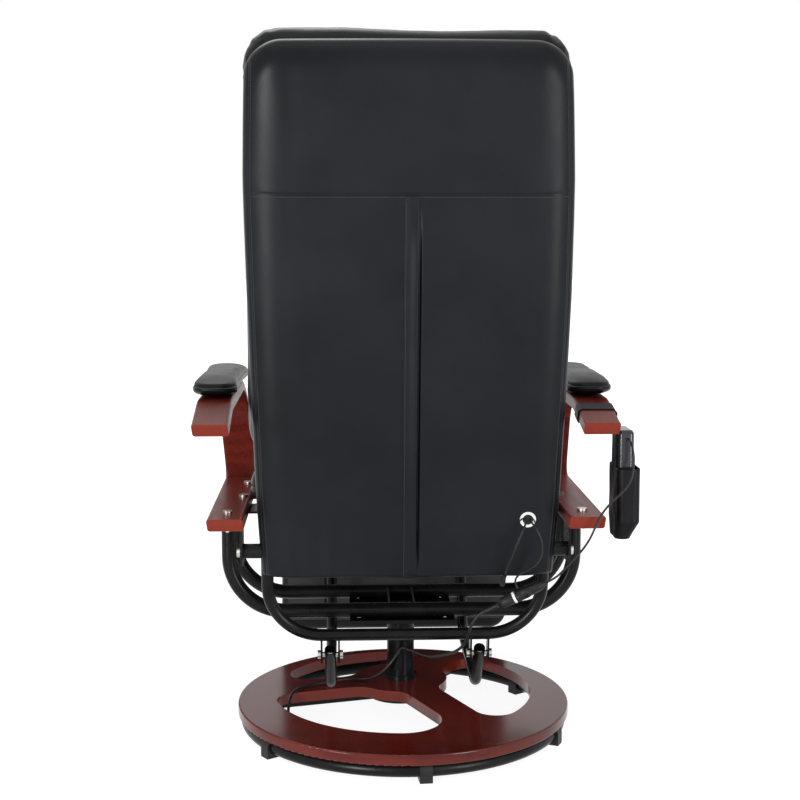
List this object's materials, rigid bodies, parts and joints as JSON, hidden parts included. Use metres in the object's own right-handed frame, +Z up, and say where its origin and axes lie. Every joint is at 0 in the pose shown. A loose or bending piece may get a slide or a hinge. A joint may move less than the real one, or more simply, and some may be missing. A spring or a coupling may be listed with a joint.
{
  "type": "reclining massage chair",
  "caption": "High-back upholstered recliner with bentwood arms and linked footrest, swivelling on a round wooden base, with a wired hand controller in a side pouch.",
  "frame": {"origin": "on the floor at the foot of the swivel axis", "axes": "+Z is up, -Y is the way the chair faces, +X is the sitter's left"},
  "size_m": [0.7295, 0.7393, 1.1391],
  "materials": {
    "wood": "satin mahogany lacquer",
    "black_paint": "gloss black powder coat",
    "zinc": "zinc plated",
    "chrome": "polished",
    "cushion": "smooth black artificial leather over foam",
    "upholstery": "smooth black artificial leather",
    "plywood": "black-stained plywood",
    "black_plastic": "matte",
    "gloss_black": "gloss",
    "button_rubber": "matte",
    "cord": "satin"
  },
  "bodies": {
    "base": {"base_disc": "wood", "base_ring": "black_paint", "base_cross": "black_paint", "base_screws": "zinc", "base_glides": "black_plastic", "column": "black_paint", "swivel_bushes": "black_plastic", "power_lead_base": "cord", "power_lead_coil": "cord", "power_plug": "black_plastic"},
    "seat": {"swivel_spindle": "zinc", "swivel_plate": "black_paint", "swivel_channel": "black_paint", "cross_tube_rear": "black_paint", "cross_tube_front": "black_paint", "seat_bolts": "zinc", "seat_frame": "black_paint", "rail_plates": "black_paint", "seat_board": "plywood", "recline_brackets": "black_paint", "pivot_bolts": "zinc", "footrest_brackets": "black_paint", "footrest_pins": "zinc", "seat_cushion": "cushion", "arm_left": "wood", "arm_right": "wood", "arm_pad_left": "cushion", "arm_pad_right": "cushion", "pouch_strap": "upholstery", "controller_pouch": "upholstery", "controller_lead": "cord", "power_lead_seat": "cord"},
    "lever": {"recline_lever": "black_paint", "lever_grip": "black_plastic"},
    "back": {"back_frame": "black_paint", "back_crossbars": "black_paint", "back_pivots": "black_paint", "back_lining": "upholstery", "back_cushion": "cushion", "back_cover_lower": "upholstery", "back_cover_upper": "upholstery", "back_flap": "upholstery", "grommet_ring": "chrome", "grommet_plug": "black_plastic", "push_clevises": "black_paint", "clevis_bolts": "zinc", "grommet_wires": "cord", "two_pin_connector": "black_plastic", "inline_connector": "black_plastic"},
    "links": {"push_tubes": "black_paint"},
    "footrest": {"footrest_bars": "black_paint", "footrest_board": "plywood", "footrest_pad": "cushion"},
    "controller": {"hand_controller": "gloss_black"},
    "key_massage": {"button_massage": "button_rubber"},
    "key_heat": {"button_heat": "button_rubber"},
    "key_level": {"button_level": "button_rubber"},
    "key_power": {"button_power": "button_rubber"}
  },
  "joints": [
    {"name": "swivel", "type": "hinge", "parent": "base", "child": "seat", "pos_m": [0, 0, 0.165], "axis": [0, 0, 1], "continuous": true},
    {"name": "recline", "type": "hinge", "parent": "seat", "child": "back", "pos_m": [0, 0.205, 0.324], "axis": [-1, 0, 0], "range_deg": [0, 26]},
    {"name": "link_pivot", "type": "hinge", "parent": "back", "child": "links", "pos_m": [0, 0.17622, 0.14227], "axis": [-1, 0, 0], "range_deg": [-27.6, 0]},
    {"name": "footrest_hinge", "type": "hinge", "parent": "seat", "child": "footrest", "pos_m": [0, -0.262, 0.35], "axis": [-1, 0, 0], "range_deg": [0, 66.2]},
    {"name": "lever_pivot", "type": "hinge", "parent": "seat", "child": "lever", "pos_m": [-0.2515, 0, 0.3555], "axis": [-1, 0, 0], "range_deg": [0, 16]},
    {"name": "controller_lift", "type": "slide", "parent": "seat", "child": "controller", "axis": [0, 0, 1], "range_m": [0, 0.15]},
    {"name": "massage_press", "type": "slide", "parent": "controller", "child": "key_massage", "axis": [1, 0, 0], "range_m": [0, 0.0012], "stiffness_N_per_m": 400},
    {"name": "heat_press", "type": "slide", "parent": "controller", "child": "key_heat", "axis": [1, 0, 0], "range_m": [0, 0.0012], "stiffness_N_per_m": 400},
    {"name": "level_press", "type": "slide", "parent": "controller", "child": "key_level", "axis": [1, 0, 0], "range_m": [0, 0.0012], "stiffness_N_per_m": 400},
    {"name": "power_press", "type": "slide", "parent": "controller", "child": "key_power", "axis": [1, 0, 0], "range_m": [0, 0.0012], "stiffness_N_per_m": 400}
  ],
  "couplings": [
    {"joint": "link_pivot", "follows": "recline", "ratio": -1.055},
    {"joint": "footrest_hinge", "follows": "recline", "ratio": 2.5385}
  ]
}
